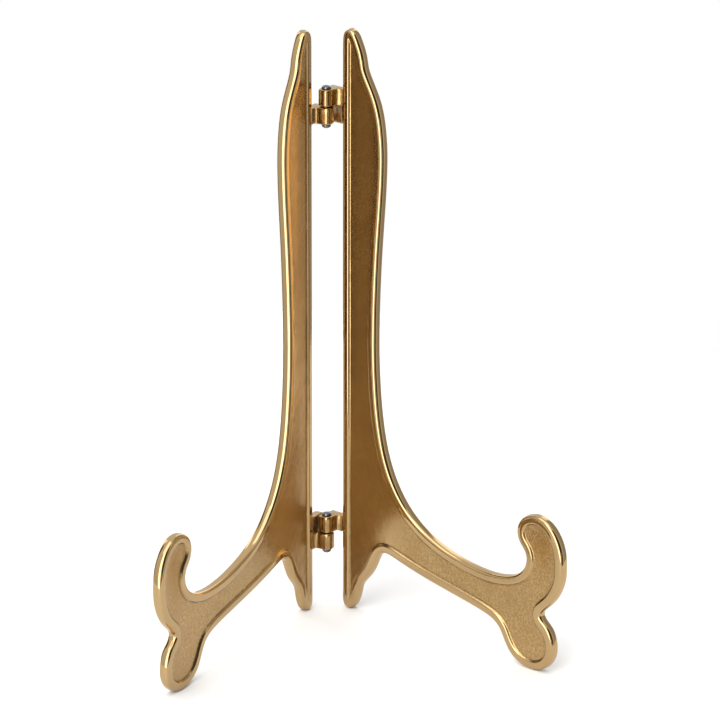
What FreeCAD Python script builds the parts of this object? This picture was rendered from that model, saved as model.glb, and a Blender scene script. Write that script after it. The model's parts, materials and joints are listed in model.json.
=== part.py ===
"""Folding album stand: two cast brass leaves that open like a book about two riveted hinges.

Each leaf is a flat plate, edged all round by a raised rim, in the shape of an upright, an arm with a
hook in front, and a foot. Leaf coordinates run forwards (u) and upwards from the middle of the rim at
the straight back edge, the spine. Both hinges share one upright axis behind the spines.
"""
import FreeCAD
import Part
import Sketcher
import os
import re

SIZES = {
    "leaf_height": 240.0,        # floor to the tip of a leaf
    "leaf_reach": 112.9,         # middle of the spine's rim to the front of the hook
    "leaf_thickness": 4.3,       # over both rims
    "rim_width": 3.8,            # raised rim, across the face
    "rim_round": 1.2,            # rounding of the rim's outer edges
    "web_recess": 0.9,           # depth of the web below the rim, each face
    "sole_flat": 0.15,           # what is ground off the round soles so that they sit flat
    "shoulder_drop": 52.0,       # tip to the widest place of the upright
    "shoulder_depth": 17.1,
    "waist_height": 112.0,       # floor to the narrowest place of the upright
    "waist_depth": 12.9,
    "arm_height": 32.0,          # floor to the lowest place of the arm's top edge
    "arm_start": 46.0,           # where the upright's sweep has become the arm
    "hook_height": 62.2,         # floor to the top of the hook
    "half_opening": 38.6,        # each leaf's turn from the middle plane, in degrees
    "axis_back": 7.4,            # hinge axis behind the middle of the spine's rim
    "axis_in": 5.1,              # hinge axis to the middle plane of each leaf
    "hinge_inset": 31.7,         # floor to the lower hinge, and tip to the upper one
    "knuckle_radius": 2.85,
    "knuckle_height": 6.9,
    "knuckle_gap": 0.3,          # between the two knuckles of a hinge
    "plate_gap": 0.5,            # from a knuckle to the other leaf's root plate
    "lug_inset": 0.3,            # root plate inside the leaf's outer face
    "pin_radius": 1.5,
    "pin_clearance": 0.05,       # radial, in the knuckle that turns
    "head_radius": 1.95,
    "head_gap": 0.15,            # under the head, above the knuckle that turns
    "upper_head": 1.2,           # height of the domed head
    "lower_head": 1.7,           # height of the peened end
}

doc = FreeCAD.newDocument("album_stand")
sheet = doc.addObject("Spreadsheet::Sheet", "Sizes")
for row, (alias, number) in enumerate(SIZES.items(), start=1):
    sheet.set(f"A{row}", alias)
    sheet.set(f"B{row}", str(number))
    sheet.setAlias(f"B{row}", alias)
doc.recompute()

NAMES = re.compile(r"\b(" + "|".join(SIZES) + r")\b")


def expression(text):
    """The text with each size's name pointing at its cell."""
    return NAMES.sub(r"Sizes.\1", text)


def value(text):
    """The number that the text gives with the sheet's present sizes."""
    return float(sheet.evalExpression(expression(text)))


def bind(thing, name, text):
    """Drive one property of a document object from the sheet."""
    thing.setExpression(name, expression(text))


# ---------------------------------------------------------------- the leaf's outline

RIM = "leaf_thickness / 2"
TIP = f"leaf_height - {RIM}"
SHOULDER = "leaf_height - shoulder_drop"
BODY = f"({SHOULDER} - waist_height)"
FRONT = f"leaf_reach - {RIM}"
ARM = f"({FRONT} - 31.5 - arm_start)"
SOLE = f"{RIM} - sole_flat"

# Poles of one closed cubic spline, the middle line of the rim, as (forwards, upwards).
SPINE = [
    ("0", "8"), ("0", "hinge_inset"), ("0", "waist_height"), ("0", SHOULDER),
    ("0", f"{TIP} - 12"), ("0", f"{TIP} - 3.2"),
]
TOP_LEAF = [
    ("0.2", f"{TIP} - 0.4"), ("1.5", f"{TIP} + 0.4"), ("3.1", f"{TIP} - 1.2"),
    ("4.7", f"{TIP} - 4.5"), ("6.1", f"{TIP} - 7.7"), ("6.7", f"{TIP} - 10.7"),
    ("7.2", f"{TIP} - 13.5"), ("8.8", f"{TIP} - 16.8"), ("11.4", f"{TIP} - 21.1"),
    ("shoulder_depth - 3.2", f"{SHOULDER} + 24"), ("shoulder_depth - 1.4", f"{SHOULDER} + 18"),
]
FRONT_EDGE = [
    ("shoulder_depth - 0.2", f"{SHOULDER} + 9"), ("shoulder_depth", SHOULDER),
    ("shoulder_depth - 0.7", f"{SHOULDER} - 0.18 * {BODY}"),
    ("waist_depth + 1.6", f"waist_height + 0.55 * {BODY}"),
    ("waist_depth + 0.5", f"waist_height + 0.28 * {BODY}"),
    ("waist_depth", "waist_height"), ("waist_depth + 1.1", "waist_height - 20"),
    ("waist_depth + 3.5", "arm_height + 43.5"), ("waist_depth + 7.6", "arm_height + 30.6"),
    ("arm_start - 19.2", "arm_height + 20.1"), ("arm_start - 10.9", "arm_height + 11.9"),
]
ARM_TOP = [
    ("arm_start", "arm_height + 5.8"),
    (f"arm_start + 0.4 * {ARM}", "arm_height + 1.9"), (f"arm_start + 0.8 * {ARM}", "arm_height"),
    (f"{FRONT} - 27.7", "arm_height + 0.6"), (f"{FRONT} - 19.9", "arm_height + 3.2"),
]
HOOK = [
    (f"{FRONT} - 15", "arm_height + 7.8"), (f"{FRONT} - 13.7", "arm_height + 13.2"),
    (f"{FRONT} - 15.1", "hook_height - 12.8"), (f"{FRONT} - 18.1", "hook_height - 10.2"),
    (f"{FRONT} - 19.4", "hook_height - 6.6"), (f"{FRONT} - 17.9", "hook_height - 2.4"),
    (f"{FRONT} - 13", "hook_height"), (f"{FRONT} - 7.2", "hook_height - 1"),
    (f"{FRONT} - 2.5", "hook_height - 5.6"), (FRONT, "hook_height - 11.8"),
    (FRONT, "arm_height + 13"), (FRONT, "arm_height + 7.6"),
]
NOTCH = [
    (f"{FRONT} - 3", "arm_height + 0.8"), (f"{FRONT} - 7.2", "28.6"), (f"{FRONT} - 10.6", "25.8"),
    (f"{FRONT} - 11.2", "22"), (f"{FRONT} - 8.2", "19"),
]
FOOT = [
    (f"{FRONT} - 5.5", "17.1"), (f"{FRONT} - 4.1", "13"), (f"{FRONT} - 3.8", "8.4"),
    (f"{FRONT} - 6.3", "4.1"), (f"{FRONT} - 10.6", SOLE), (f"{FRONT} - 14", SOLE),
    (f"{FRONT} - 18.2", f"{SOLE} + 0.6"), (f"{FRONT} - 22.6", "5.3"), (f"{FRONT} - 25.4", "9.8"),
    (f"{FRONT} - 27.6", "14.4"), (f"{FRONT} - 31.9", "17.8"),
]
ARM_UNDER = [
    (f"{FRONT} - 38.8", "19.8"), ("(arm_start + 12) * 0.5 + (leaf_reach - 52.9) * 0.5", "22.3"),
    ("arm_start - 4", "25.5"), ("28.5", "29"),
]
REAR = [
    ("20.9", "31.4"), ("16", "28.9"), ("13.6", "23.7"), ("11.3", "18.6"), ("7.2", "14.5"),
    ("5", "11.4"), ("4.4", "7.2"), ("2.7", "3.3"), ("1.5", SOLE), ("0.7", SOLE), ("0", f"{SOLE} + 0.8"),
]
OUTLINE = SPINE + TOP_LEAF + FRONT_EDGE + ARM_TOP + HOOK + NOTCH + FOOT + ARM_UNDER + REAR


def leaf_outline():
    """A sketch with the middle line of the rim, every pole held at its place."""
    sketch = doc.addObject("Sketcher::SketchObject", "rim_middle_line")
    sketch.Placement.Rotation = FreeCAD.Rotation(FreeCAD.Vector(1, 0, 0), 90)
    spline = Part.BSplineCurve()
    poles = [FreeCAD.Vector(value(forwards), value(upwards), 0) for forwards, upwards in OUTLINE]
    spline.buildFromPoles(poles, True, 3)
    curve = sketch.addGeometry(spline)
    sketch.exposeInternalGeometry(curve)
    holds = []
    for number, (forwards, upwards) in enumerate(OUTLINE):
        circle = curve + 1 + number
        holds.append(("DistanceX", circle, forwards))
        holds.append(("DistanceY", circle, upwards))
    first = sketch.ConstraintCount
    sketch.addConstraint([Sketcher.Constraint(kind, -1, 1, circle, 3, value(text))
                          for kind, circle, text in holds])
    for number, (kind, circle, text) in enumerate(holds, start=first):
        bind(sketch, f"Constraints[{number}]", text)
    return sketch


# ---------------------------------------------------------------- the hinge axis

# The axis stands as far behind the origin as it must for the stand's footprint to be centred there.
LUG_OUTER = f"(axis_in + {RIM} - lug_inset)"
FRONT_Y = (f"((leaf_reach + axis_back - rim_round) * cos(half_opening) + rim_round"
           f" - (axis_in - {RIM} + rim_round) * sin(half_opening))")
BACK_Y = f"(knuckle_radius * cos(half_opening) + {LUG_OUTER} * sin(half_opening))"
AXIS_Y = f"({FRONT_Y} - {BACK_Y}) / 2"


def place_on_axis(thing, side, ahead="0", aside="0"):
    """Turn a piece from leaf coordinates to its side of the open stand.

    Side is -1 for the left, 1 for the right. Before the turn, the piece's own origin stands the
    given distances ahead of the hinge axis and out to its own side.
    """
    thing.Placement.Rotation = FreeCAD.Rotation(FreeCAD.Vector(0, 0, 1), -90)
    bind(thing, "Placement.Rotation.Angle", f"-90 * 1 deg + {side} * half_opening * 1 deg")
    bind(thing, "Placement.Base.x", f"{side} * ({ahead} * sin(half_opening) + {aside} * cos(half_opening))")
    bind(thing, "Placement.Base.y", f"{AXIS_Y} - {ahead} * cos(half_opening) + {aside} * sin(half_opening)")


# ---------------------------------------------------------------- the leaves

EDGE_STEPS = 2 * len(OUTLINE)    # points of each edge that is worked out from the middle line
LEAST_STEP = 0.05
HALVINGS = 30


def offset_point(curve, place, distance):
    """The point beside the curve at a place along it, a distance outwards."""
    along = curve.tangent(place)[0]
    return curve.value(place) - distance * FreeCAD.Vector(along.z, 0, -along.x)


def rim_edge(middle_line):
    """The outer edge of the rim: the middle line moved outwards by half the rim's thickness."""
    curve = middle_line.Shape.Edges[0].Curve
    places = [number / EDGE_STEPS for number in range(EDGE_STEPS)]
    points = [offset_point(curve, place, value(RIM)) for place in places]
    edge = Part.BSplineCurve()
    edge.interpolate(Points=points, PeriodicFlag=True)
    return Part.Face(Part.Wire([edge.toShape()]))


def web_edge(middle_line):
    """The rim's inner edge: a straight line beside the spine, and the middle line moved inwards.

    The rims of the spine and of the front edge run together at the two tips, so the line and the
    curve are cut where they cross.
    """
    curve = middle_line.Shape.Edges[0].Curve
    inwards = value(f"{RIM} - rim_width")
    places = [number / EDGE_STEPS for number in range(EDGE_STEPS)]
    points = [offset_point(curve, place, inwards) for place in places]
    first = last = EDGE_STEPS // 2
    while points[first - 1].x > -inwards + LEAST_STEP:
        first -= 1
    while points[last + 1].x > -inwards + LEAST_STEP:
        last += 1
    ends = []
    for outer, inner in ((first - 1, first), (last + 1, last)):
        low, high = outer / EDGE_STEPS, inner / EDGE_STEPS
        for _ in range(HALVINGS):
            middle = (low + high) / 2
            if offset_point(curve, middle, inwards).x > -inwards:
                high = middle
            else:
                low = middle
        ends.append(offset_point(curve, high, inwards))
    front = Part.BSplineCurve()
    front.interpolate(Points=[ends[0]] + points[first:last + 1] + [ends[1]])
    return Part.Face(Part.Wire([front.toShape(), Part.LineSegment(ends[1], ends[0]).toShape()]))


def outline_face(name, face):
    """A flat face, kept as an object of the document."""
    feature = doc.addObject("Part::Feature", name)
    feature.Shape = face
    return feature


def extrusion(name, base, forward, reverse):
    """A solid from a flat outline, from `forward` on one side of it to `reverse` on the other."""
    solid = doc.addObject("Part::Extrusion", name)
    solid.Base = base
    solid.DirMode = "Custom"
    solid.Dir = FreeCAD.Vector(0, 1, 0)
    solid.Solid = True
    bind(solid, "LengthFwd", forward)
    bind(solid, "LengthRev", reverse)
    return solid


def rounded(name, solid, radius):
    """The solid with its two long outlines rounded over."""
    fillet = doc.addObject("Part::Fillet", name)
    fillet.Base = solid
    outline_length = value("leaf_height")
    edges = [number for number, edge in enumerate(solid.Shape.Edges, start=1) if edge.Length > outline_length]
    fillet.Edges = [(number, value(radius), value(radius)) for number in edges]
    return fillet


def leaf_waste(edge):
    """All that is taken off the plate: the web's recess in both faces, and the soles' undersides."""
    outwards = f"{RIM} + web_recess"
    web_face = f"-({RIM} - web_recess)"
    waste = doc.addObject("Part::MultiFuse", "leaf_waste")
    waste.Shapes = [
        extrusion("recess_inner", edge, outwards, web_face),
        extrusion("recess_outer", edge, web_face, outwards),
        under_the_floor(),
    ]
    return waste


def under_the_floor():
    """What is ground off the soles: all that lies below the floor."""
    return block("below_floor", ("-leaf_reach / 2", "-leaf_thickness", f"-{RIM}"),
                 ("leaf_reach * 2", "leaf_thickness", "0"))


def leaf(name, side, plate, waste):
    """One leaf: the plate without its waste, turned about the hinge axis."""
    cut = doc.addObject("Part::Cut", name)
    cut.Label = name
    cut.Base = plate
    cut.Tool = waste
    place_on_axis(cut, side, "axis_back", "axis_in")
    return cut


# ---------------------------------------------------------------- the hinges

LOWER_HINGE = "hinge_inset"
UPPER_HINGE = "(leaf_height - hinge_inset)"
PLATE_FACE = "(knuckle_radius + plate_gap)"
HALF_GAP = "knuckle_gap / 2"
KNUCKLE_TOP = f"{HALF_GAP} + knuckle_height"    # above the middle of the hinge


def block(name, low, high):
    """A box from its lowest to its highest corner, each given as three texts."""
    box = doc.addObject("Part::Box", name)
    for length, axis, start, stop in zip(("Length", "Width", "Height"), "xyz", low, high):
        bind(box, length, f"({stop}) - ({start})")
        bind(box, f"Placement.Base.{axis}", start)
    return box


def cylinder(name, radius, foot, height):
    """A cylinder on the hinge axis."""
    round_bar = doc.addObject("Part::Cylinder", name)
    bind(round_bar, "Radius", radius)
    bind(round_bar, "Height", height)
    bind(round_bar, "Placement.Base.z", foot)
    return round_bar


def lug(name, side, hinge_height, knuckle_foot, whole_root, bore):
    """One lug: a root plate brazed to the spine, and the knuckle that it carries.

    Heights count from the middle of the hinge. A whole root is as tall as the hinge, and the other
    lug's root is only as tall as its own knuckle. The knuckle is a round nose on the hinge axis with
    straight sides back to the root plate.
    """
    foot = f"-({KNUCKLE_TOP})" if whole_root else knuckle_foot
    top = KNUCKLE_TOP if whole_root else f"{knuckle_foot} + knuckle_height"
    knuckle_top = f"{knuckle_foot} + knuckle_height"
    faces = sorted((f"{side} * {PLATE_FACE}", f"{side} * {LUG_OUTER}"), key=value)
    sides = sorted(("0", f"{side} * axis_in"), key=value)
    solid = doc.addObject("Part::MultiFuse", f"{name}_blank")
    solid.Shapes = [
        block(f"{name}_root", ("-knuckle_radius", faces[0], foot), (f"axis_back - {RIM}", faces[1], top)),
        block(f"{name}_sides", ("-knuckle_radius", sides[0], knuckle_foot),
              ("knuckle_radius", sides[1], knuckle_top)),
        cylinder(f"{name}_nose", "knuckle_radius", knuckle_foot, "knuckle_height"),
    ]
    solid.Refine = True
    bored = doc.addObject("Part::Cut", name)
    bored.Label = name
    bored.Base = solid
    bored.Tool = cylinder(f"{name}_bore", bore, knuckle_foot, "knuckle_height")
    place_on_axis(bored, side)
    bind(bored, "Placement.Base.z", hinge_height)
    return bored


def dome(name, level, height, direction):
    """Half an ellipsoid on the hinge axis, bulging up (1) or down (-1)."""
    half = doc.addObject("Part::Ellipsoid", name)
    bind(half, "Radius1", height)
    bind(half, "Radius2", "head_radius")
    half.Angle1 = 0 if direction == 1 else -90
    half.Angle2 = 90 if direction == 1 else 0
    bind(half, "Placement.Base.z", level)
    return half


def pin(name, hinge_height):
    """A rivet: its shank, the domed head above the hinge and the peened end below it."""
    head = f"{KNUCKLE_TOP} + head_gap"
    foot = f"-({KNUCKLE_TOP})"
    rivet = doc.addObject("Part::MultiFuse", name)
    rivet.Label = name
    rivet.Shapes = [
        cylinder(f"{name}_shank", "pin_radius", foot, f"2 * ({KNUCKLE_TOP}) + head_gap"),
        dome(f"{name}_head", head, "upper_head", 1),
        dome(f"{name}_peened_end", foot, "lower_head", -1),
    ]
    bind(rivet, "Placement.Base.y", AXIS_Y)
    bind(rivet, "Placement.Base.z", hinge_height)
    return rivet


# ---------------------------------------------------------------- the stand

middle_line = leaf_outline()
doc.recompute()
plate = extrusion("plate", outline_face("rim_outer_edge", rim_edge(middle_line)), RIM, RIM)
web = outline_face("rim_inner_edge", web_edge(middle_line))
doc.recompute()
leaf_plate = rounded("rounded_plate", plate, "rim_round")
waste = leaf_waste(web)

UPPER_KNUCKLE = HALF_GAP
LOWER_KNUCKLE = f"-({KNUCKLE_TOP})"
RUNNING_BORE = "pin_radius + pin_clearance"
LEFT = -1
RIGHT = 1

pieces = [
    leaf("left_leaf", LEFT, leaf_plate, waste),
    leaf("right_leaf", RIGHT, leaf_plate, waste),
    lug("upper_left_lug", LEFT, UPPER_HINGE, LOWER_KNUCKLE, False, "pin_radius"),
    lug("upper_right_lug", RIGHT, UPPER_HINGE, UPPER_KNUCKLE, True, RUNNING_BORE),
    lug("lower_left_lug", LEFT, LOWER_HINGE, LOWER_KNUCKLE, True, "pin_radius"),
    lug("lower_right_lug", RIGHT, LOWER_HINGE, UPPER_KNUCKLE, False, RUNNING_BORE),
    pin("upper_hinge_pin", UPPER_HINGE),
    pin("lower_hinge_pin", LOWER_HINGE),
]
doc.recompute()

for thing in doc.Objects:
    if "Invalid" in thing.State or "Error" in thing.State:
        raise RuntimeError(f"{thing.Label} could not be built")
os.makedirs("parts", exist_ok=True)
for piece in pieces:
    if piece.Shape.isNull() or not piece.Shape.isValid() or len(piece.Shape.Solids) != 1:
        raise RuntimeError(f"{piece.Label} is not one sound solid")
for piece in pieces:
    piece.Shape.exportStep(f"parts/{piece.Label}.step")
    print(piece.Label, round(piece.Shape.Volume, 1), "mm3")
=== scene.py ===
"""A folding brass album stand: two cast leaves with polished rims and satin webs, on two riveted hinges.

Each piece is worked out in millimetres in leaf coordinates, which run forwards from the spine (u), from
the leaf's middle plane towards the other leaf (w) and upwards (z), and is then turned to its place.
"""
import json
import math
import bpy
import numpy as np
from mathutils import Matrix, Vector
from mathutils.geometry import delaunay_2d_cdt


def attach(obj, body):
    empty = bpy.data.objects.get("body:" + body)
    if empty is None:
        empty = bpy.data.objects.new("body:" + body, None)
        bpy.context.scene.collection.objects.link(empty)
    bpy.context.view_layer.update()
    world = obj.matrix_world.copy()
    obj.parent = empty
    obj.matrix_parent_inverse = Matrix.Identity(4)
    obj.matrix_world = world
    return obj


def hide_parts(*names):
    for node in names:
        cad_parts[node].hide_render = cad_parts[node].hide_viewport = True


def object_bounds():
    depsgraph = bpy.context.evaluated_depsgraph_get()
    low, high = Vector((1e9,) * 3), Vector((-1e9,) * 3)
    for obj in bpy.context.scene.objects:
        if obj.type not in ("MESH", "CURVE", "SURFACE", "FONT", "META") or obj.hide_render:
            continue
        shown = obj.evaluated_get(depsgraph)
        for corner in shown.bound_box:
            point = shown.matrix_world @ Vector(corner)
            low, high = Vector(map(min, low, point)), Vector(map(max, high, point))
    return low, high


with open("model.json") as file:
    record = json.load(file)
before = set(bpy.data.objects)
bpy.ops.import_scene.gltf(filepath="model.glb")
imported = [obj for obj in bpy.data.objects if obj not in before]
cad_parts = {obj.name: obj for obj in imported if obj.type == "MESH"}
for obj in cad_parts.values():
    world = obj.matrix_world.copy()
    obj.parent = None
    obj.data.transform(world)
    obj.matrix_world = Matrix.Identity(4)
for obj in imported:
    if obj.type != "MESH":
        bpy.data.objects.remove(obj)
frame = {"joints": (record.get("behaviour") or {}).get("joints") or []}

cad_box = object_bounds()
MM = 0.001

# ---------------------------------------------------------------- sizes, in millimetres and degrees

LEAF_HEIGHT = 240.0
LEAF_REACH = 112.9
HALF_THICKNESS = 2.15
WEB_RECESS = 0.9
SOLE_FLAT = 0.15
SHOULDER_HEIGHT = LEAF_HEIGHT - 52.0
SHOULDER_DEPTH = 17.1
WAIST_HEIGHT = 112.0
WAIST_DEPTH = 12.9
ARM_HEIGHT = 32.0
ARM_START = 46.0
HOOK_HEIGHT = 62.2
HALF_OPENING = math.radians(38.6)
AXIS_BACK = 7.4
AXIS_IN = 5.1
AXIS_Y = frame["joints"][0]["pos_m"][1] / MM
HINGE_INSET = 31.7
LEFT, RIGHT = -1, 1

# ---------------------------------------------------------------- the middle line of the rim

TIP = LEAF_HEIGHT - HALF_THICKNESS
BODY = SHOULDER_HEIGHT - WAIST_HEIGHT
FRONT = LEAF_REACH - HALF_THICKNESS
ARM = FRONT - 31.5 - ARM_START
SOLE = HALF_THICKNESS - SOLE_FLAT

SPINE = [(0, 8), (0, HINGE_INSET), (0, WAIST_HEIGHT), (0, SHOULDER_HEIGHT), (0, TIP - 12), (0, TIP - 3.2)]
TOP_LEAF = [
    (0.2, TIP - 0.4), (1.5, TIP + 0.4), (3.1, TIP - 1.2), (4.7, TIP - 4.5), (6.1, TIP - 7.7),
    (6.7, TIP - 10.7), (7.2, TIP - 13.5), (8.8, TIP - 16.8), (11.4, TIP - 21.1),
    (SHOULDER_DEPTH - 3.2, SHOULDER_HEIGHT + 24), (SHOULDER_DEPTH - 1.4, SHOULDER_HEIGHT + 18),
]
FRONT_EDGE = [
    (SHOULDER_DEPTH - 0.2, SHOULDER_HEIGHT + 9), (SHOULDER_DEPTH, SHOULDER_HEIGHT),
    (SHOULDER_DEPTH - 0.7, SHOULDER_HEIGHT - 0.18 * BODY), (WAIST_DEPTH + 1.6, WAIST_HEIGHT + 0.55 * BODY),
    (WAIST_DEPTH + 0.5, WAIST_HEIGHT + 0.28 * BODY), (WAIST_DEPTH, WAIST_HEIGHT),
    (WAIST_DEPTH + 1.1, WAIST_HEIGHT - 20), (WAIST_DEPTH + 3.5, ARM_HEIGHT + 43.5),
    (WAIST_DEPTH + 7.6, ARM_HEIGHT + 30.6), (ARM_START - 19.2, ARM_HEIGHT + 20.1),
    (ARM_START - 10.9, ARM_HEIGHT + 11.9),
]
ARM_TOP = [
    (ARM_START, ARM_HEIGHT + 5.8), (ARM_START + 0.4 * ARM, ARM_HEIGHT + 1.9),
    (ARM_START + 0.8 * ARM, ARM_HEIGHT), (FRONT - 27.7, ARM_HEIGHT + 0.6), (FRONT - 19.9, ARM_HEIGHT + 3.2),
]
HOOK = [
    (FRONT - 15, ARM_HEIGHT + 7.8), (FRONT - 13.7, ARM_HEIGHT + 13.2), (FRONT - 15.1, HOOK_HEIGHT - 12.8),
    (FRONT - 18.1, HOOK_HEIGHT - 10.2), (FRONT - 19.4, HOOK_HEIGHT - 6.6), (FRONT - 17.9, HOOK_HEIGHT - 2.4),
    (FRONT - 13, HOOK_HEIGHT), (FRONT - 7.2, HOOK_HEIGHT - 1), (FRONT - 2.5, HOOK_HEIGHT - 5.6),
    (FRONT, HOOK_HEIGHT - 11.8), (FRONT, ARM_HEIGHT + 13), (FRONT, ARM_HEIGHT + 7.6),
]
NOTCH = [
    (FRONT - 3, ARM_HEIGHT + 0.8), (FRONT - 7.2, 28.6), (FRONT - 10.6, 25.8), (FRONT - 11.2, 22),
    (FRONT - 8.2, 19),
]
FOOT = [
    (FRONT - 5.5, 17.1), (FRONT - 4.1, 13), (FRONT - 3.8, 8.4), (FRONT - 6.3, 4.1), (FRONT - 10.6, SOLE),
    (FRONT - 14, SOLE), (FRONT - 18.2, SOLE + 0.6), (FRONT - 22.6, 5.3), (FRONT - 25.4, 9.8),
    (FRONT - 27.6, 14.4), (FRONT - 31.9, 17.8),
]
ARM_UNDER = [
    (FRONT - 38.8, 19.8), ((ARM_START + 12) / 2 + (LEAF_REACH - 52.9) / 2, 22.3), (ARM_START - 4, 25.5),
    (28.5, 29),
]
REAR = [
    (20.9, 31.4), (16, 28.9), (13.6, 23.7), (11.3, 18.6), (7.2, 14.5), (5, 11.4), (4.4, 7.2), (2.7, 3.3),
    (1.5, SOLE), (0.7, SOLE), (0, SOLE + 0.8),
]
OUTLINE = SPINE + TOP_LEAF + FRONT_EDGE + ARM_TOP + HOOK + NOTCH + FOOT + ARM_UNDER + REAR


def closed_spline(poles, steps):
    """A closed uniform cubic B-spline: on each span the point is the sum of four poles, weighted by
    the cubic basis (1-t)^3/6, (3t^3-6t^2+4)/6, (-3t^3+3t^2+3t+1)/6 and t^3/6."""
    poles = np.array(poles, float)
    t = np.linspace(0, 1, steps, endpoint=False)
    basis = np.array([(1 - t) ** 3, 3 * t**3 - 6 * t**2 + 4, -3 * t**3 + 3 * t**2 + 3 * t + 1, t**3]) / 6
    around = np.stack([np.roll(poles, shift, axis=0) for shift in (1, 0, -1, -2)])
    return np.einsum("ks,knc->nsc", basis, around).reshape(-1, 2)


def evenly_spaced(points, gap):
    """The closed line walked at equal steps: its coordinates read off against the length along it."""
    closed = np.vstack([points, points[:1]])
    along = np.concatenate([[0], np.cumsum(np.linalg.norm(np.diff(closed, axis=0), axis=1))])
    count = int(round(along[-1] / gap))
    stations = np.linspace(0, along[-1], count, endpoint=False)
    return np.column_stack([np.interp(stations, along, closed[:, axis]) for axis in (0, 1)])


def outward(points):
    """Unit vectors square to a closed clockwise line: its central difference turned a quarter left."""
    along = np.roll(points, -1, axis=0) - np.roll(points, 1, axis=0)
    along /= np.linalg.norm(along, axis=1)[:, None]
    return np.column_stack([-along[:, 1], along[:, 0]])


# ---------------------------------------------------------------- meshes

def new_piece(node, ending, points, faces, body, material):
    """A smooth mesh in metres that rides on a body and stands for a CAD node."""
    name = f"{node}_{ending}"
    mesh = bpy.data.meshes.new(name)
    mesh.from_pydata((np.asarray(points) * MM).tolist(), [], faces)
    mesh.shade_smooth()
    mesh.materials.append(material)
    piece = bpy.data.objects.new(name, mesh)
    bpy.context.scene.collection.objects.link(piece)
    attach(piece, body)
    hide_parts(node)
    return piece


def note(piece, name, values):
    """Keep one number for each point of the piece, for its material to read."""
    layer = piece.data.attributes.new(name, "FLOAT", "POINT")
    layer.data.foreach_set("value", np.asarray(values, dtype=np.float32))


def ring_faces(rows, count):
    """Four-sided faces between neighbouring rows of a grid whose rows go round."""
    row = np.arange(rows - 1)[:, None] * count
    here = np.arange(count)[None, :]
    after = (here + 1) % count
    quads = np.stack([row + here, row + after, row + count + after, row + count + here], axis=-1)
    return quads.reshape(-1, 4).tolist()


def end_faces(rows, count):
    """The first and the last row of such a grid, each closed by one flat face."""
    return [list(range(count))[::-1], list(range((rows - 1) * count, rows * count))]


def in_place(u, w, z, side):
    """Leaf coordinates to the open stand: a turn about the hinge axis by half the opening."""
    sine, cosine = math.sin(HALF_OPENING), math.cos(HALF_OPENING)
    forwards, inwards = u + AXIS_BACK, w - AXIS_IN
    x = side * (forwards * sine - inwards * cosine)
    y = AXIS_Y - (forwards * cosine + inwards * sine)
    return np.column_stack([x, y, z + 0 * x])


def squared(share, squareness):
    """A sine or cosine made squarer: its size to the power 2 / squareness, with its own sign. Both
    together draw a superellipse, a plain ellipse at 2."""
    return np.sign(share) * np.abs(share) ** (2 / squareness)


# ---------------------------------------------------------------- the leaves

POINT_GAP = 0.8
SPAN_STEPS = 40           # points worked out on each span of the spline
BEAD_DEPTH = 1.7          # from the rim's edge in to the top of its bead
BEAD_SQUARENESS = 2.8     # 2 is an ellipse, more is squarer
BEAD_TURN = np.radians(np.linspace(-90, 90, 19))    # its rows, from the outer face to the inner
SHOULDER_FROM = 3.1       # inwards from the rim's edge
SHOULDER_TO = 4.2
INNER_ROWS = np.array([2.2, 2.7, 3.1, 3.25, 3.4, 3.55, 3.7, 3.85, 4.0, 4.2, 4.5, 5.2, 6.4, 8.0])
WEB_DISH = 0.15
DISH_REACH = 2.0          # how fast the web falls away to its dish
ROW_SLACK = 0.04
SEARCH_PARTS = 8          # a row is searched for its nearest edge in this many parts
# The middle and the size of the painted shade in the hook's hollow.
HOOK_HOLLOW = np.array([FRONT - 8.5, HOOK_HEIGHT - 11.0])
HOLLOW_SIZE = np.array([5.0, 9.0])
SPINE_RIM = 5.0           # the spine's rim lies behind this, and fades out over SPINE_FADE
SPINE_FADE = 2.0
SPINE_FOOT = 6.0          # and it fades in over as much again at the heel and at the tip
WEAR_REACH = 34.0         # the upright is worn as far forwards as this
WEAR_FADE = 14.0


def bead(turn):
    """The rim's edge in section, a superellipse: how far in from the edge, and how far from the
    middle plane, for each turn from -90 (one face) to 90 degrees (the other)."""
    inwards = BEAD_DEPTH * (1 - squared(np.cos(turn), BEAD_SQUARENESS))
    height = HALF_THICKNESS * squared(np.sin(turn), BEAD_SQUARENESS)
    return inwards, height


def face_height(inwards):
    """The bead's flat top, half a cosine wave down the shoulder, and the slightly dished web."""
    share = np.clip((inwards - SHOULDER_FROM) / (SHOULDER_TO - SHOULDER_FROM), 0, 1)
    dish = WEB_DISH * (1 - np.exp(-np.maximum(inwards - SHOULDER_TO, 0) / DISH_REACH))
    return HALF_THICKNESS - WEB_RECESS * (1 - np.cos(np.pi * share)) / 2 - dish


def inner_points(edge, normals):
    """Rows of points parallel to the edge, kept only where no other part of the edge is nearer."""
    points, depths = [], []
    for depth in INNER_ROWS:
        row = edge - depth * normals
        gaps = np.concatenate([np.sqrt(((part[:, None] - edge[None]) ** 2).sum(-1).min(1))
                               for part in np.array_split(row, SEARCH_PARTS)])
        keep = gaps > depth - ROW_SLACK
        points.append(row[keep])
        depths.append(np.full(keep.sum(), depth))
    return np.vstack(points), np.concatenate(depths)


def knit(loop, inside):
    """Triangles that fill a closed loop through the points inside it, counted loop first."""
    points = [Vector(point) for point in np.vstack([loop, inside])]
    count = len(loop)
    border = [(index, (index + 1) % count) for index in range(count)]
    inside_border, nearness = 1, 1e-6
    _, _, faces, origins, _, _ = delaunay_2d_cdt(points, border, [], inside_border, nearness)
    return np.array([[origins[point][0] for point in face] for face in faces])


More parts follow.
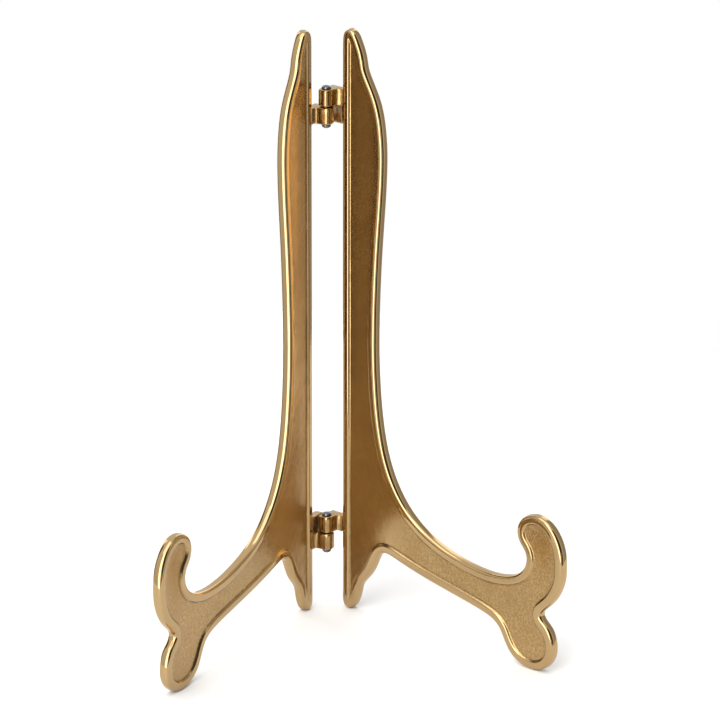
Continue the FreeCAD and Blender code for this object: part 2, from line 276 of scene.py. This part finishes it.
def note_finish(leaf, flat, depths):
    """Keep what the finish needs to know of each point: how far in from the edge it lies, whether it
    is on the spine's rim, how worn the upright is there, and how deep in the hook's hollow it is, a
    bell curve of the distance from the hollow's middle."""
    forwards, upwards = flat[:, 0], flat[:, 1]
    spine = np.clip((SPINE_RIM - forwards) / SPINE_FADE, 0, 1)
    spine *= np.clip((upwards - SPINE_FOOT) / SPINE_FOOT, 0, 1)
    spine *= np.clip((TIP - SPINE_FOOT - upwards) / SPINE_FOOT, 0, 1)
    hollow = np.linalg.norm((flat - HOOK_HOLLOW) / HOLLOW_SIZE, axis=1)
    note(leaf, "inwards", depths)
    note(leaf, "spine", spine)
    note(leaf, "worn", np.clip((WEAR_REACH - forwards) / WEAR_FADE, 0, 1))
    note(leaf, "hollow", np.exp(-hollow**2))


def build_leaf(name, side, body, material):
    """One leaf: the bead's section carried round the outline, and both faces knitted across. Points
    are counted band first, then those inside the inner face, then those inside the outer face."""
    middle = evenly_spaced(closed_spline(OUTLINE, SPAN_STEPS), POINT_GAP)
    normals = outward(middle)
    edge = middle + HALF_THICKNESS * normals
    count, rows = len(edge), len(BEAD_TURN)
    inwards, height = bead(BEAD_TURN)
    band = edge[None] - inwards[:, None, None] * normals[None]
    inside, depths = inner_points(edge, normals)
    inside_w = face_height(depths)
    flat = np.vstack([band.reshape(-1, 2), inside, inside])
    w = np.concatenate([np.repeat(height, count), inside_w, -inside_w])
    on_floor = np.maximum(flat[:, 1], 0)
    triangles = knit(band[-1], inside)
    past_band = triangles - count + rows * count
    inner_face = np.where(triangles < count, triangles + (rows - 1) * count, past_band)
    outer_face = np.where(triangles < count, triangles, past_band + len(inside))
    faces = [quad[::-1] for quad in ring_faces(rows, count)]
    faces += inner_face.tolist() + outer_face[:, ::-1].tolist()
    if side == LEFT:
        faces = [face[::-1] for face in faces]
    points = in_place(flat[:, 0], w, on_floor, side)
    leaf = new_piece(name, "casting", points, faces, body, material)
    note_finish(leaf, flat, np.concatenate([np.repeat(inwards, count), depths, depths]))


# ---------------------------------------------------------------- the hinges

KNUCKLE_RADIUS = 2.85
KNUCKLE_HEIGHT = 6.9
HALF_GAP = 0.15
KNUCKLE_TOP = HALF_GAP + KNUCKLE_HEIGHT
PLATE_NEAR = KNUCKLE_RADIUS + 0.5
PLATE_FAR = AXIS_IN + HALF_THICKNESS - 0.3
PLATE_BACK = -KNUCKLE_RADIUS
PLATE_FRONT = AXIS_BACK - HALF_THICKNESS
CORNER = 0.5
ROOT_CORNER = 0.15        # where the plate meets the spine
ROUND_OFF = 0.8
NOSE_SQUARENESS = 2.7
HEAD_SQUARENESS = 2.5
PIN_RADIUS = 1.5
HEAD_RADIUS = 1.95
HEAD_GAP = 0.15
UPPER_HEAD = 1.2
LOWER_HEAD = 1.7
NOSE_TURN = np.radians(np.linspace(180, 360, 25))
SIDE_SHARES = np.array([1, 0.75, 0.5, 0.25])
CORNER_TURN = np.linspace(0, 90, 7)
EDGE_TURN = np.radians(np.linspace(0, 90, 5))
HEAD_TURN = np.radians(np.linspace(0, 88, 9))
PIN_SIDES = 48
CAST_START = KNUCKLE_RADIUS - 1
CAST_SLOPE = 0.8          # from the buffed knuckle to the rough plate


def corner(centre, radius, start):
    """Points of a round corner, a quarter circle anticlockwise from the start, in degrees."""
    angles = np.radians(start + CORNER_TURN)
    return np.column_stack([centre[0] + radius * np.cos(angles), centre[1] + radius * np.sin(angles)])


def plan(inset, nose_inset, with_knuckle):
    """The lug from above, anticlockwise: the knuckle's squarish nose on the hinge axis, its straight
    sides back to the plate, and the plate with round corners. The plate and the nose each stand in
    by their inset. Without the knuckle, its points lie along the plate's near face."""
    near, far = PLATE_NEAR + inset, PLATE_FAR - inset
    back, front = PLATE_BACK + inset, PLATE_FRONT - inset
    radius = CORNER - inset / 2
    nose = KNUCKLE_RADIUS - nose_inset
    side_x, side_y = np.full(len(SIDE_SHARES), nose), near * SIDE_SHARES
    x = np.concatenate([-side_x, nose * squared(np.cos(NOSE_TURN), NOSE_SQUARENESS), side_x])
    y = np.concatenate([side_y, nose * squared(np.sin(NOSE_TURN), NOSE_SQUARENESS), side_y[::-1]])
    if not with_knuckle:
        x = np.linspace(-nose, nose, len(x))
        y = np.full(len(x), near)
    return np.vstack([
        np.column_stack([x, y]),
        corner((front - ROOT_CORNER, near + ROOT_CORNER), ROOT_CORNER, -90),
        corner((front - radius, far - radius), radius, 0),
        corner((back + radius, far - radius), radius, 90),
    ])


def lug_rows(whole_root):
    """The rows of a lug whose knuckle is the upper one: level, how far the plate and the nose stand
    in, and whether there is a knuckle. Edges are rounded by a quarter circle. A whole root starts at
    the other end of the hinge, and its knuckle starts on the way."""
    rise, stand_in = ROUND_OFF * np.sin(EDGE_TURN), ROUND_OFF * (1 - np.cos(EDGE_TURN))
    foot = -KNUCKLE_TOP if whole_root else HALF_GAP
    rounding = list(zip(rise, stand_in))
    rows = [(foot + ROUND_OFF - up, back, back, not whole_root) for up, back in rounding[::-1]]
    if whole_root:
        rows.append((HALF_GAP, 0, 0, False))
        rows += [(HALF_GAP + ROUND_OFF - up, 0, back, True) for up, back in rounding[::-1]]
    rows += [(KNUCKLE_TOP - ROUND_OFF + up, back, back, True) for up, back in rounding]
    return rows


def build_lug(name, side, hinge_height, upper, whole_root, body, material):
    """One lug: its plan carried upwards through the rows, or downwards for a lower knuckle. It is
    drawn without its bore, which the rivet fills."""
    rows = lug_rows(whole_root)
    loops = np.array([plan(plate_in, nose_in, knuckle) for _, plate_in, nose_in, knuckle in rows])
    count = loops.shape[1]
    levels = np.array([row[0] for row in rows]) * (1 if upper else -1)
    x, y = loops[:, :, 0].ravel(), loops[:, :, 1].ravel()
    faces = ring_faces(len(rows), count) + end_faces(len(rows), count)
    if (side == RIGHT) == upper:
        faces = [face[::-1] for face in faces]
    points = in_place(x - AXIS_BACK, AXIS_IN - y, np.repeat(levels, count) + hinge_height, side)
    lug = new_piece(name, "casting", points, faces, body, material)
    note(lug, "as_cast", np.clip((y - CAST_START) / CAST_SLOPE, 0, 1))


def build_pin(name, hinge_height, material):
    """A rivet, its section spun about the hinge axis: half-superellipse heads on a straight shank."""
    head_foot = KNUCKLE_TOP + HEAD_GAP
    head_radius = HEAD_RADIUS * squared(np.cos(HEAD_TURN), HEAD_SQUARENESS)
    rise = squared(np.sin(HEAD_TURN), HEAD_SQUARENESS)
    lower_level = -KNUCKLE_TOP - LOWER_HEAD * rise
    upper_level = head_foot + UPPER_HEAD * rise
    radius = np.concatenate([head_radius[::-1], [PIN_RADIUS, PIN_RADIUS], head_radius])
    level = np.concatenate([lower_level[::-1], [-KNUCKLE_TOP, head_foot], upper_level])
    turn = np.linspace(0, 2 * np.pi, PIN_SIDES, endpoint=False)
    x = (radius[:, None] * np.cos(turn)).ravel()
    y = (radius[:, None] * np.sin(turn)).ravel() + AXIS_Y
    z = np.repeat(level, PIN_SIDES) + hinge_height
    faces = ring_faces(len(radius), PIN_SIDES) + end_faces(len(radius), PIN_SIDES)
    new_piece(name, "rivet", np.column_stack([x, y, z]), faces, "left_half", material)


# ---------------------------------------------------------------- node groups shared by the finishes

class Tree:
    """Short ways to add nodes and links to one node tree."""

    def __init__(self, tree):
        self.tree = tree

    def feed(self, socket, source):
        """Link a socket to a node's output, or set it to a constant."""
        if isinstance(source, bpy.types.NodeSocket):
            self.tree.links.new(source, socket)
        else:
            socket.default_value = source

    def add(self, kind, inputs=None, **settings):
        node = self.tree.nodes.new(kind)
        for key, setting in settings.items():
            setattr(node, key, setting)
        for key, source in (inputs or {}).items():
            self.feed(node.inputs[key], source)
        return node

    def math(self, operation, first, second=0.0):
        return self.add("ShaderNodeMath", {0: first, 1: second}, operation=operation).outputs[0]

    def times(self, first, second):
        return self.math("MULTIPLY", first, second)

    def spread(self, source, low, high, to_low=0.0, to_high=1.0):
        """A value stretched smoothly from one range to another."""
        inputs = {"Value": source, "From Min": low, "From Max": high, "To Min": to_low, "To Max": to_high}
        return self.add("ShaderNodeMapRange", inputs, interpolation_type="SMOOTHSTEP").outputs["Result"]

    def mix(self, share, first, second):
        """A value between two others."""
        return self.add("ShaderNodeMix", {0: share, 2: first, 3: second}).outputs[0]

    def tint(self, share, first, second):
        """A colour between two others."""
        return self.add("ShaderNodeMix", {0: share, 6: first, 7: second}, data_type="RGBA").outputs[2]

    def bump(self, height, strength, distance):
        inputs = {"Height": height, "Strength": strength, "Distance": distance}
        return self.add("ShaderNodeBump", inputs)

    def note(self, name):
        """One of the numbers kept for each point of a piece."""
        return self.add("ShaderNodeAttribute", attribute_name=name).outputs["Fac"]

    def use(self, group, **inputs):
        """A shared group placed in this tree, its inputs named with underscores for spaces."""
        node = self.tree.nodes.new("ShaderNodeGroup")
        node.node_tree = group
        for key, source in inputs.items():
            self.feed(node.inputs[key.replace("_", " ")], source)
        return node.outputs


def new_group(name, inputs, outputs):
    """An empty shader group with named inputs and outputs."""
    group = bpy.data.node_groups.new(name, "ShaderNodeTree")
    for label, kind, default in inputs:
        socket = group.interface.new_socket(name=label, in_out="INPUT", socket_type=kind)
        if default is not None:
            socket.default_value = default
    for label in outputs:
        group.interface.new_socket(name=label, in_out="OUTPUT", socket_type="NodeSocketFloat")
    given = group.nodes.new("NodeGroupInput").outputs
    result = group.nodes.new("NodeGroupOutput").inputs
    return group, Tree(group), given, result


def cast_grain_group():
    """Sand-cast skin: fine grains on soft lumps, with scattered pits."""
    lump_rate, lump_share, pit_depth = 0.3, 0.4, 0.3
    group, tree, given, result = new_group(
        "cast grain",
        [("Position", "NodeSocketVector", None), ("Grains per metre", "NodeSocketFloat", 2600.0)],
        ["Height", "Pits"],
    )
    position, rate = given["Position"], given["Grains per metre"]
    coarse = tree.times(rate, lump_rate)
    grain = tree.add("ShaderNodeTexNoise", {
        "Vector": position, "Scale": rate, "Detail": 3.0, "Roughness": 0.6,
    })
    lumps = tree.add("ShaderNodeTexNoise", {"Vector": position, "Scale": coarse, "Detail": 2.0})
    cells = tree.add("ShaderNodeTexVoronoi", {"Vector": position, "Scale": coarse})
    pits = tree.spread(cells.outputs["Distance"], 0.05, 0.16, 1.0, 0.0)
    height = tree.math("ADD", grain.outputs["Fac"], tree.times(lumps.outputs["Fac"], lump_share))
    tree.feed(result["Height"], tree.math("SUBTRACT", height, tree.times(pits, pit_depth)))
    tree.feed(result["Pits"], pits)
    return group


def hand_polish_group():
    """Hand polishing: a slow waviness left by the wheel, smears, and hairlines drawn along the height."""
    smear_rate, hairline_rate, hairline_stretch = 0.4, 14.0, (1.0, 1.0, 0.12)
    group, tree, given, result = new_group(
        "hand polish",
        [("Position", "NodeSocketVector", None), ("Waves per metre", "NodeSocketFloat", 180.0)],
        ["Height", "Smear", "Hairlines"],
    )
    position, rate = given["Position"], given["Waves per metre"]
    drawn = tree.add("ShaderNodeVectorMath", {0: position, 1: hairline_stretch}, operation="MULTIPLY")
    waves = tree.add("ShaderNodeTexNoise", {"Vector": position, "Scale": rate, "Detail": 1.0})
    smear = tree.add("ShaderNodeTexNoise", {
        "Vector": position, "Scale": tree.times(rate, smear_rate), "Detail": 3.0, "Distortion": 0.6,
    })
    lines = tree.add("ShaderNodeTexNoise", {
        "Vector": drawn.outputs["Vector"], "Scale": tree.times(rate, hairline_rate), "Detail": 2.0,
    })
    tree.feed(result["Height"], waves.outputs["Fac"])
    tree.feed(result["Smear"], smear.outputs["Fac"])
    tree.feed(result["Hairlines"], lines.outputs["Fac"])
    return group


def tarnish_group():
    """Tarnish: soft clouds that hold a browner film."""
    group, tree, given, result = new_group(
        "tarnish",
        [("Position", "NodeSocketVector", None), ("Clouds per metre", "NodeSocketFloat", 70.0)],
        ["Film"],
    )
    clouds = tree.add("ShaderNodeTexNoise", {
        "Vector": given["Position"], "Scale": given["Clouds per metre"], "Detail": 5.0, "Roughness": 0.65,
    })
    tree.feed(result["Film"], tree.spread(clouds.outputs["Fac"], 0.35, 0.7))
    return group


CAST_GRAIN = cast_grain_group()
HAND_POLISH = hand_polish_group()
TARNISH = tarnish_group()

# ---------------------------------------------------------------- finishes

POLISHED = (0.48, 0.335, 0.168, 1)
POLISHED_DULLED = (0.37, 0.24, 0.108, 1)
SATIN = (0.50, 0.342, 0.158, 1)
# Tarnished satin; on the knuckles it also stands for painted shade.
SATIN_TARNISH_AND_SHADE = (0.32, 0.198, 0.080, 1)
# Painted shade for the crease between rim and web; also the colour of the dark pits.
CREASE_SHADE_AND_DARK_PITS = (0.13, 0.07, 0.022, 1)
# Painted shade for the middle of the hook's hollow.
HOLLOW_SHADE = (0.33, 0.17, 0.045, 1)
STEEL = (0.19, 0.19, 0.215, 1)
STEEL_BLACKENED = (0.06, 0.06, 0.07, 1)

# Ranges of the patterns that the finishes read, from the first effect to the full one.
SMEARS = (0.3, 0.7)
DARK_GRAINS = (0.80, 0.62)
# The grains that take the painted shade in the hook's hollow.
HOLLOW_SHADE_GRAINS = (0.95, 0.55)
LUG_DARK_GRAINS = (0.82, 0.58)
ROUGH_GRAINS = (0.5, 0.9)
HAIRLINES = (0.5, 0.6)
FULL = (0.0, 1.0)

# Millimetres in from the rim's edge.
WEB_START = (3.2, 3.9)
# Where the painted shade in the crease starts and ends.
CREASE_START = (3.6, 3.95)
CREASE_END = (4.15, 4.9)


def new_material(name):
    """A material with its shader, its tree and its own object coordinates."""
    material = bpy.data.materials.new(name)
    material.use_nodes = True
    material.node_tree.nodes.clear()
    tree = Tree(material.node_tree)
    shader = tree.add("ShaderNodeBsdfPrincipled", {"Metallic": 1.0})
    tree.add("ShaderNodeOutputMaterial", {"Surface": shader.outputs["BSDF"]})
    place = tree.add("ShaderNodeTexCoord").outputs["Object"]
    place = tree.add("ShaderNodeMapping", {"Vector": place}).outputs["Vector"]
    return material, tree, shader, place


def finish(tree, shader, colour, roughness, bump):
    """Join a finish's colour, roughness and relief to its shader."""
    tree.feed(shader.inputs["Base Color"], colour)
    tree.feed(shader.inputs["Roughness"], roughness)
    tree.feed(shader.inputs["Normal"], bump.outputs["Normal"])


def rim_colour(tree, polish):
    """Polished brass, duller where the wheel has smeared it."""
    dulling = 0.6
    return tree.tint(tree.times(polish["Smear"], dulling), POLISHED, POLISHED_DULLED)


def web_colour(tree, grain, polish, film, worn):
    """Satin brass with clouds of tarnish and dark grains, painted shade in the hook's hollow, darker pits,
    and hairlines where it is worn."""
    cloud_share, worn_grain_share, pit_share, hairline_share = 0.45, 0.55, 0.4, 0.6
    colour = tree.tint(tree.times(film, cloud_share), SATIN, SATIN_TARNISH_AND_SHADE)
    dark_grains = tree.spread(grain["Height"], *DARK_GRAINS)
    dark_grains = tree.times(dark_grains, tree.spread(worn, *FULL, 1.0, worn_grain_share))
    colour = tree.tint(dark_grains, colour, SATIN_TARNISH_AND_SHADE)
    # Painted shade: the middle of the hook's hollow is darkened, grain by grain.
    hollow_shade = tree.times(tree.note("hollow"), tree.spread(grain["Height"], *HOLLOW_SHADE_GRAINS, 0.3, 0.9))
    colour = tree.tint(hollow_shade, colour, HOLLOW_SHADE)
    colour = tree.tint(tree.times(grain["Pits"], pit_share), colour, CREASE_SHADE_AND_DARK_PITS)
    hairlines = tree.times(tree.spread(polish["Hairlines"], *HAIRLINES), hairline_share)
    return tree.tint(tree.times(hairlines, worn), colour, POLISHED_DULLED)


def leaf_brass():
    """Cast brass: bright polished rims, and satin webs with the grain of the sand, which handling has
    worn a little smoother on the uprights. The crease between them is darkened unevenly as painted shade."""
    crease_shade_share, worn_roughness, worn_relief, spine_relief = 0.6, 0.9, 0.8, 0.08
    material, tree, shader, place = new_material("leaf_brass")
    inwards, spine, worn = tree.note("inwards"), tree.note("spine"), tree.note("worn")
    grain = tree.use(CAST_GRAIN, Position=place, Grains_per_metre=3300.0)
    polish = tree.use(HAND_POLISH, Position=place, Waves_per_metre=160.0)
    film = tree.use(TARNISH, Position=place, Clouds_per_metre=60.0)["Film"]
    web = tree.spread(inwards, *WEB_START)
    # Painted shade: the crease at the foot of the rim's shoulder is darkened, more so in the tarnish clouds.
    crease = tree.math("SUBTRACT", tree.spread(inwards, *CREASE_START), tree.spread(inwards, *CREASE_END))
    crease = tree.times(crease, tree.spread(film, *FULL, 0.2, 0.9))
    colour = tree.tint(web, rim_colour(tree, polish), web_colour(tree, grain, polish, film, worn))
    colour = tree.tint(tree.times(crease, crease_shade_share), colour, CREASE_SHADE_AND_DARK_PITS)
    rim_roughness = tree.spread(polish["Smear"], *SMEARS, 0.06, 0.13)
    web_roughness = tree.spread(grain["Height"], *ROUGH_GRAINS, 0.20, 0.28)
    web_roughness = tree.times(web_roughness, tree.spread(worn, *FULL, 1.0, worn_roughness))
    relief = tree.times(web, tree.spread(worn, *FULL, 1.0, worn_relief))
    relief = tree.math("ADD", relief, tree.times(spine, spine_relief))
    fine = tree.bump(tree.times(grain["Height"], relief), 0.6, 0.00003)
    broad = tree.bump(polish["Height"], 0.5, 0.0002)
    tree.feed(broad.inputs["Normal"], fine.outputs["Normal"])
    finish(tree, shader, colour, tree.mix(web, rim_roughness, web_roughness), broad)
    return material


def lug_brass():
    """Brass lugs: plates left as cast, and knuckles buffed but browner: in clouds of tarnish, and by at
    least a third everywhere as painted shade.
    """
    plate_roughness, pit_share = 0.28, 0.35
    material, tree, shader, place = new_material("lug_brass")
    as_cast = tree.note("as_cast")
    grain = tree.use(CAST_GRAIN, Position=place, Grains_per_metre=3000.0)
    polish = tree.use(HAND_POLISH, Position=place, Waves_per_metre=420.0)
    film = tree.use(TARNISH, Position=place, Clouds_per_metre=260.0)["Film"]
    # Painted shade: the knuckles lie at least a third of the way to the dark satin everywhere, and fully
    # where the tarnish clouds are thick.
    knuckle = tree.tint(tree.spread(film, 0.0, 0.7, 0.35, 1.0), POLISHED, SATIN_TARNISH_AND_SHADE)
    plate = tree.tint(tree.spread(grain["Height"], *LUG_DARK_GRAINS), SATIN, SATIN_TARNISH_AND_SHADE)
    colour = tree.tint(as_cast, knuckle, plate)
    colour = tree.tint(tree.times(grain["Pits"], pit_share), colour, CREASE_SHADE_AND_DARK_PITS)
    buffed = tree.spread(polish["Smear"], *SMEARS, 0.10, 0.2)
    fine = tree.bump(tree.times(grain["Height"], as_cast), 0.6, 0.00004)
    broad = tree.bump(polish["Height"], 0.4, 0.0002)
    tree.feed(broad.inputs["Normal"], fine.outputs["Normal"])
    finish(tree, shader, colour, tree.mix(as_cast, buffed, plate_roughness), broad)
    return material


def pin_steel():
    """Dark steel rivets with hammer marks on the heads."""
    material, tree, shader, place = new_material("pin_steel")
    polish = tree.use(HAND_POLISH, Position=place, Waves_per_metre=900.0)
    film = tree.use(TARNISH, Position=place, Clouds_per_metre=500.0)["Film"]
    colour = tree.tint(film, STEEL, STEEL_BLACKENED)
    roughness = tree.spread(polish["Smear"], *SMEARS, 0.18, 0.38)
    finish(tree, shader, colour, roughness, tree.bump(polish["Height"], 0.6, 0.0002))
    return material


# ---------------------------------------------------------------- the studio

VIEW_AZIMUTH = math.radians(-9.0)
VIEW_DROP = math.radians(18.13)
VIEW_DISTANCE = 1.730
VIEW_AIM = Vector((0.0067, 0.0, -0.0023))    # from the middle of the box
VIEW_ROLL = math.radians(0.089)
LENS = 223.4
FILM_WIDTH = 36.0


def camera():
    """A long lens, a little to the left of the middle and looking down."""
    low, high = (Vector(corner_point) for corner_point in cad_box)
    aim = (low + high) / 2 + VIEW_AIM
    away = Vector((math.sin(VIEW_AZIMUTH) * math.cos(VIEW_DROP),
                   -math.cos(VIEW_AZIMUTH) * math.cos(VIEW_DROP), math.sin(VIEW_DROP)))
    lens = bpy.data.cameras.new("camera")
    lens.lens = LENS
    lens.sensor_width = FILM_WIDTH
    holder = bpy.data.objects.new("camera", lens)
    bpy.context.scene.collection.objects.link(holder)
    holder.location = aim + VIEW_DISTANCE * away
    holder.rotation_euler = away.to_track_quat("Z", "Y").to_euler()
    holder.rotation_euler.rotate_axis("Z", VIEW_ROLL)
    bpy.context.scene.camera = holder


def card_group():
    """How much of a studio card lies in a direction: a soft-edged window in azimuth and elevation."""
    group, tree, given, result = new_group(
        "studio card",
        [("Azimuth", "NodeSocketFloat", 0.0), ("Elevation", "NodeSocketFloat", 0.0),
         ("Middle", "NodeSocketFloat", 0.0), ("Half width", "NodeSocketFloat", 10.0),
         ("Low", "NodeSocketFloat", -90.0), ("High", "NodeSocketFloat", 90.0),
         ("Softness", "NodeSocketFloat", 3.0)],
        ["Mask"],
    )
    azimuth, elevation, soft = given["Azimuth"], given["Elevation"], given["Softness"]
    middle, half, low, high = (given[label] for label in ("Middle", "Half width", "Low", "High"))

    def fade(value, border, start, end):
        edges = (tree.math("SUBTRACT", border, soft), tree.math("ADD", border, soft))
        return tree.spread(value, *edges, start, end)

    away = tree.math("ABSOLUTE", tree.math("SUBTRACT", azimuth, middle))
    upright = tree.times(fade(elevation, low, 0.0, 1.0), fade(elevation, high, 1.0, 0.0))
    tree.feed(result["Mask"], tree.times(fade(away, half, 1.0, 0.0), upright))
    return group


SURROUND = 0.9
OVERHEAD = 1.3            # how much brighter the surround is above
CARDS = [
    # Middle and half width in azimuth, low and high, softness, all in degrees, and brightness.
    # Azimuth 0 is in front, 90 to the right, and the card behind is given from both sides.
    (180.0, 20.0, -60.0, 0.0, 5.0, 0.45),
    (-180.0, 20.0, -60.0, 0.0, 5.0, 0.45),
    (108.0, 30.0, -60.0, 60.0, 8.0, 0.54),
    (-36.0, 20.0, -60.0, 55.0, 3.0, 4.6),
    (30.0, 33.0, -70.0, 55.0, 2.0, 0.08),
    (16.6, 8.0, -45.0, 5.0, 3.0, 1.1),
    (-150.0, 6.0, -60.0, 50.0, 3.0, 3.2),
    (-122.0, 13.0, -60.0, 50.0, 3.0, 0.03),
    (150.0, 10.0, -60.0, 50.0, 4.0, 2.2),
    (134.0, 5.0, -60.0, 50.0, 3.0, 0.45),
]


def studio():
    """A pale surround with lit and dark cards, which the polished rims mirror."""
    degrees = 180 / math.pi
    world = bpy.data.worlds.new("studio")
    bpy.context.scene.world = world
    world.use_nodes = True
    world.node_tree.nodes.clear()
    tree = Tree(world.node_tree)
    direction = tree.add("ShaderNodeTexCoord").outputs["Generated"]
    parts = tree.add("ShaderNodeSeparateXYZ", {"Vector": direction}).outputs
    azimuth = tree.times(tree.math("ARCTAN2", parts["X"], tree.times(parts["Y"], -1.0)), degrees)
    elevation = tree.times(tree.math("ARCSINE", parts["Z"]), degrees)
    card = card_group()
    light = tree.spread(elevation, -30.0, 80.0, SURROUND, SURROUND * OVERHEAD)
    for middle, half, low, high, soft, brightness in CARDS:
        mask = tree.use(card, Azimuth=azimuth, Elevation=elevation, Middle=middle, Half_width=half,
                        Low=low, High=high, Softness=soft)["Mask"]
        light = tree.mix(mask, light, brightness)
    seen = tree.add("ShaderNodeLightPath").outputs["Is Camera Ray"]
    sky = tree.add("ShaderNodeBackground", {"Color": (1, 1, 1, 1), "Strength": tree.mix(seen, light, 1.0)})
    tree.add("ShaderNodeOutputWorld", {"Surface": sky.outputs["Background"]})


LAMP_PLACE = Vector((-0.3, -0.3, 1.5))
LAMP_AIM = Vector((0, 0, 0.1))
LAMP_SIZE = 1.2
LAMP_POWER = 8.0


def soft_light():
    """A large square lamp above, which looks at the middle of the stand."""
    lamp = bpy.data.lights.new("key_light", "AREA")
    lamp.size = LAMP_SIZE
    lamp.energy = LAMP_POWER
    holder = bpy.data.objects.new("key_light", lamp)
    bpy.context.scene.collection.objects.link(holder)
    holder.location = LAMP_PLACE
    holder.rotation_euler = (LAMP_PLACE - LAMP_AIM).to_track_quat("Z", "Y").to_euler()


TABLE_RADIUS = 0.32
TABLE_BACK = 0.12         # its middle, behind the stand
TABLE_SIDES = 96
TABLE_WHITE = (0.9, 0.9, 0.9, 1)
TABLE_ROUGHNESS = 0.6


def table():
    """A round white table top under the soles."""
    turn = np.linspace(0, 2 * np.pi, TABLE_SIDES, endpoint=False)
    x, y = TABLE_RADIUS * np.cos(turn), TABLE_RADIUS * np.sin(turn) + TABLE_BACK
    mesh = bpy.data.meshes.new("table")
    rim = np.column_stack([x, y, np.zeros(TABLE_SIDES)])
    mesh.from_pydata(rim.tolist(), [], [list(range(TABLE_SIDES))])
    top = bpy.data.objects.new("table", mesh)
    bpy.context.scene.collection.objects.link(top)
    material = bpy.data.materials.new("table_white")
    material.use_nodes = True
    shader = material.node_tree.nodes["Principled BSDF"]
    shader.inputs["Base Color"].default_value = TABLE_WHITE
    shader.inputs["Roughness"].default_value = TABLE_ROUGHNESS
    mesh.materials.append(material)


# ---------------------------------------------------------------- making

LEAF_BRASS = leaf_brass()
LUG_BRASS = lug_brass()
PIN_STEEL = pin_steel()

camera()
studio()
table()
soft_light()

build_leaf("left_leaf", LEFT, "left_half", LEAF_BRASS)
build_leaf("right_leaf", RIGHT, "right_half", LEAF_BRASS)
LOWER, UPPER = HINGE_INSET, LEAF_HEIGHT - HINGE_INSET
build_lug("upper_left_lug", LEFT, UPPER, False, False, "left_half", LUG_BRASS)
build_lug("upper_right_lug", RIGHT, UPPER, True, True, "right_half", LUG_BRASS)
build_lug("lower_left_lug", LEFT, LOWER, False, True, "left_half", LUG_BRASS)
build_lug("lower_right_lug", RIGHT, LOWER, True, False, "right_half", LUG_BRASS)
build_pin("upper_hinge_pin", UPPER, PIN_STEEL)
build_pin("lower_hinge_pin", LOWER, PIN_STEEL)

bpy.context.scene.view_settings.view_transform = "Standard"
